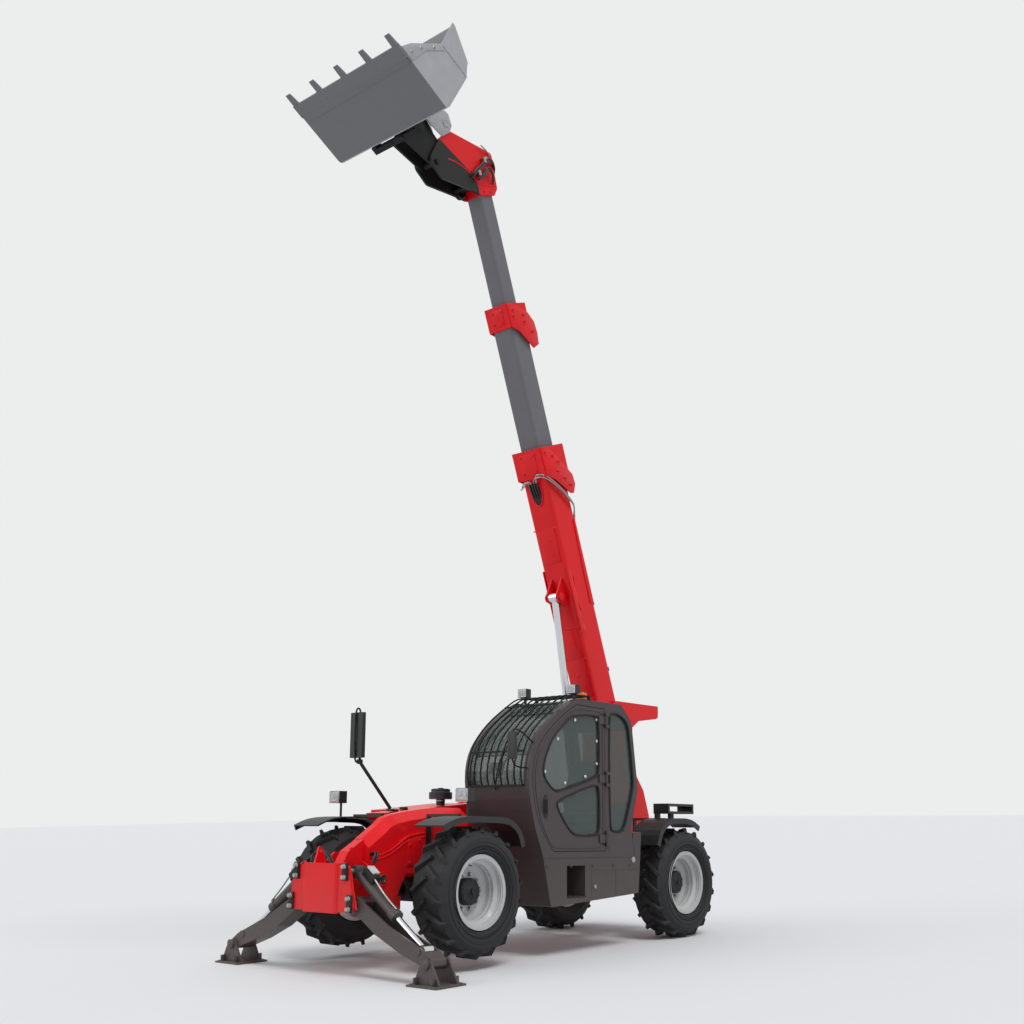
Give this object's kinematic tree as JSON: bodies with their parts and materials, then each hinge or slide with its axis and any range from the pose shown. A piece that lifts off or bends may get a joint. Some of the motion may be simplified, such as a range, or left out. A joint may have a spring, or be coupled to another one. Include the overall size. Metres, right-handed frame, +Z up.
{
  "type": "telehandler",
  "caption": "Telescopic handler standing on its front stabilisers, with a side cab and a long boom raised and partly extended under a toothed bucket.",
  "frame": {"origin": "centre of the whole's bounding box, at the ground", "axes": "+X forward, +Y to the cab side, +Z up"},
  "size_m": [5.224, 2.98, 9.4277],
  "materials": {
    "red_paint": "gloss",
    "umber_paint": "satin",
    "boom_grey": "satin",
    "bucket_grey": "worn satin",
    "black_steel": "satin",
    "engine_grey": "cast",
    "axle_grey": "painted casting",
    "rim_silver": "satin",
    "black_plastic": "moulded",
    "chrome_rod": "polished",
    "pin_steel": "brushed",
    "tyre_rubber": "matte",
    "window_glass": "clear, faint green",
    "seat_fabric": "woven"
  },
  "bodies": {
    "chassis": {"frame": "red_paint", "rear_tower": "red_paint", "boom_pin": "pin_steel", "nose_pins_left": "pin_steel", "nose_pins_right": "pin_steel", "front_axle": "axle_grey", "rear_axle": "axle_grey", "engine_block": "engine_grey", "cowl": "red_paint", "air_cleaner": "black_plastic", "cab_shell": "umber_paint", "cab_glass": "window_glass", "cab_guard": "black_steel", "seat": "seat_fabric", "steering_column": "black_plastic", "skirt": "umber_paint", "fenders_front": "black_plastic", "fenders_rear": "black_plastic", "lamps": "black_plastic", "mirror": "black_plastic", "rear_carrier": "black_plastic"},
    "cab_door": {"door": "umber_paint", "door_glass": "window_glass"},
    "engine_hood": {"hood": "red_paint"},
    "lift_cylinder": {"lift_barrel": "umber_paint"},
    "lift_piston": {"lift_rod": "chrome_rod"},
    "outer_boom": {"boom_outer": "red_paint", "tele_barrel": "pin_steel"},
    "middle_boom": {"boom_mid": "boom_grey", "tele_rod": "chrome_rod"},
    "inner_boom": {"boom_inner": "boom_grey"},
    "tilt_cylinder": {"tilt_barrel": "red_paint"},
    "tilt_piston": {"tilt_rod": "chrome_rod"},
    "tool": {"hitch": "black_steel", "bucket": "bucket_grey"},
    "steer_front_left": {"knuckle_front_left": "axle_grey"},
    "wheel_front_left": {"tyre_front_left": "tyre_rubber", "rim_front_left": "rim_silver", "hub_front_left": "axle_grey"},
    "steer_front_right": {"knuckle_front_right": "axle_grey"},
    "wheel_front_right": {"tyre_front_right": "tyre_rubber", "rim_front_right": "rim_silver", "hub_front_right": "axle_grey"},
    "steer_rear_left": {"knuckle_rear_left": "axle_grey"},
    "wheel_rear_left": {"tyre_rear_left": "tyre_rubber", "rim_rear_left": "rim_silver", "hub_rear_left": "axle_grey"},
    "steer_rear_right": {"knuckle_rear_right": "axle_grey"},
    "wheel_rear_right": {"tyre_rear_right": "tyre_rubber", "rim_rear_right": "rim_silver", "hub_rear_right": "axle_grey"},
    "stabiliser_left": {"leg_left": "umber_paint"},
    "foot_left": {"pad_left": "umber_paint"},
    "leg_cylinder_left": {"leg_ram_left_barrel": "umber_paint"},
    "leg_piston_left": {"leg_ram_left_rod": "chrome_rod"},
    "stabiliser_right": {"leg_right": "umber_paint"},
    "foot_right": {"pad_right": "umber_paint"},
    "leg_cylinder_right": {"leg_ram_right_barrel": "umber_paint"},
    "leg_piston_right": {"leg_ram_right_rod": "chrome_rod"}
  },
  "joints": [
    {"name": "steering_front_left", "type": "hinge", "parent": "chassis", "child": "steer_front_left", "pos_m": [1.54794, 0.6, 0.68], "axis": [-0.0303, 0, 0.9995], "range_deg": [-25, 25]},
    {"name": "roll_front_left", "type": "hinge", "parent": "steer_front_left", "child": "wheel_front_left", "pos_m": [1.54794, 0.835, 0.68], "axis": [0, 1, 0], "continuous": true},
    {"name": "steering_front_right", "type": "hinge", "parent": "chassis", "child": "steer_front_right", "pos_m": [1.54794, -0.6, 0.68], "axis": [-0.0303, 0, 0.9995], "range_deg": [-25, 25]},
    {"name": "roll_front_right", "type": "hinge", "parent": "steer_front_right", "child": "wheel_front_right", "pos_m": [1.54794, -0.835, 0.68], "axis": [0, 1, 0], "continuous": true},
    {"name": "steering_rear_left", "type": "hinge", "parent": "chassis", "child": "steer_rear_left", "pos_m": [-1.75055, 0.6, 0.58], "axis": [-0.0303, 0, 0.9995], "range_deg": [-25, 25]},
    {"name": "roll_rear_left", "type": "hinge", "parent": "steer_rear_left", "child": "wheel_rear_left", "pos_m": [-1.75055, 0.835, 0.58], "axis": [0, 1, 0], "continuous": true},
    {"name": "steering_rear_right", "type": "hinge", "parent": "chassis", "child": "steer_rear_right", "pos_m": [-1.75055, -0.6, 0.58], "axis": [-0.0303, 0, 0.9995], "range_deg": [-25, 25]},
    {"name": "roll_rear_right", "type": "hinge", "parent": "steer_rear_right", "child": "wheel_rear_right", "pos_m": [-1.75055, -0.835, 0.58], "axis": [0, 1, 0], "continuous": true},
    {"name": "door_swing", "type": "hinge", "parent": "chassis", "child": "cab_door", "pos_m": [-0.36108, 0.997, 1.54255], "axis": [-0.0303, 0, 0.9995], "range_deg": [0, 85]},
    {"name": "hood_lift", "type": "hinge", "parent": "chassis", "child": "engine_hood", "pos_m": [-0.1267, -0.623, 1.46761], "axis": [-0.9995, 0, -0.0303], "range_deg": [0, 60]},
    {"name": "boom_lift", "type": "hinge", "parent": "chassis", "child": "outer_boom", "pos_m": [-1.88759, -0.1, 1.86644], "axis": [0, -1, 0], "range_deg": [-76, 1]},
    {"name": "middle_extend", "type": "slide", "parent": "outer_boom", "child": "middle_boom", "axis": [0.3217, 0, 0.9469], "range_m": [-1.1, 2]},
    {"name": "inner_extend", "type": "slide", "parent": "middle_boom", "child": "inner_boom", "axis": [0.3217, 0, 0.9469], "range_m": [-1.1, 2]},
    {"name": "tool_tilt", "type": "hinge", "parent": "inner_boom", "child": "tool", "pos_m": [1.08653, -0.1, 8.30952], "axis": [0, 1, 0], "range_deg": [-50, 60]},
    {"name": "lift_cylinder_turn", "type": "hinge", "parent": "chassis", "child": "lift_cylinder", "pos_m": [-1.38587, -0.1, 0.76113], "axis": [0, -1, 0], "range_deg": [-59.64, 1.28]},
    {"name": "lift_rod_slide", "type": "slide", "parent": "lift_cylinder", "child": "lift_piston", "axis": [0.1488, 0, 0.9889], "range_m": [-1.29521, 0.02]},
    {"name": "tilt_cylinder_turn", "type": "hinge", "parent": "inner_boom", "child": "tilt_cylinder", "pos_m": [0.30607, -0.1, 8.64085], "axis": [0, 1, 0], "range_deg": [-2.06, 1.8]},
    {"name": "tilt_rod_slide", "type": "slide", "parent": "tilt_cylinder", "child": "tilt_piston", "axis": [0.9931, 0, -0.1176], "range_m": [-0.19274, 0.23068]},
    {"name": "leg_swing_left", "type": "hinge", "parent": "chassis", "child": "stabiliser_left", "pos_m": [2.42376, 0.398, 0.61651], "axis": [0.9995, 0, 0.0303], "range_deg": [0, 84]},
    {"name": "foot_tip_left", "type": "hinge", "parent": "stabiliser_left", "child": "foot_left", "pos_m": [2.437, 1.315, 0.18], "axis": [0.9995, 0, 0.0303], "range_deg": [-25, 25]},
    {"name": "leg_left_cylinder_turn", "type": "hinge", "parent": "chassis", "child": "leg_cylinder_left", "pos_m": [2.41558, 0.33, 0.88639], "axis": [0.9995, 0, 0.0303], "range_deg": [-0.5, 78.41]},
    {"name": "leg_left_rod_slide", "type": "slide", "parent": "leg_cylinder_left", "child": "leg_piston_left", "axis": [0.0176, 0.8131, -0.5819], "range_m": [-0.3689, 0.003]},
    {"name": "leg_swing_right", "type": "hinge", "parent": "chassis", "child": "stabiliser_right", "pos_m": [2.42376, -0.398, 0.61651], "axis": [-0.9995, 0, -0.0303], "range_deg": [0, 84]},
    {"name": "foot_tip_right", "type": "hinge", "parent": "stabiliser_right", "child": "foot_right", "pos_m": [2.437, -1.315, 0.18], "axis": [0.9995, 0, 0.0303], "range_deg": [-25, 25]},
    {"name": "leg_right_cylinder_turn", "type": "hinge", "parent": "chassis", "child": "leg_cylinder_right", "pos_m": [2.41558, -0.33, 0.88639], "axis": [-0.9995, 0, -0.0303], "range_deg": [-0.5, 78.41]},
    {"name": "leg_right_rod_slide", "type": "slide", "parent": "leg_cylinder_right", "child": "leg_piston_right", "axis": [0.0176, -0.8131, -0.5819], "range_m": [-0.3689, 0.003]}
  ],
  "couplings": [
    {"joint": "steering_front_right", "follows": "steering_front_left", "ratio": 1},
    {"joint": "steering_rear_left", "follows": "steering_front_left", "ratio": -1},
    {"joint": "steering_rear_right", "follows": "steering_front_left", "ratio": -1},
    {"joint": "inner_extend", "follows": "middle_extend", "ratio": 1},
    {"joint": "lift_cylinder_turn", "follows": "boom_lift", "ratio": 0.77816},
    {"joint": "lift_rod_slide", "follows": "boom_lift", "m_per_rad": 0.97419},
    {"joint": "tilt_cylinder_turn", "follows": "tool_tilt", "ratio": -0.02606},
    {"joint": "tilt_rod_slide", "follows": "tool_tilt", "m_per_rad": 0.21742},
    {"joint": "leg_left_cylinder_turn", "follows": "leg_swing_left", "ratio": 0.92748},
    {"joint": "leg_left_rod_slide", "follows": "leg_swing_left", "m_per_rad": -0.24958},
    {"joint": "leg_right_cylinder_turn", "follows": "leg_swing_right", "ratio": 0.92748},
    {"joint": "leg_right_rod_slide", "follows": "leg_swing_right", "m_per_rad": -0.24958}
  ]
}
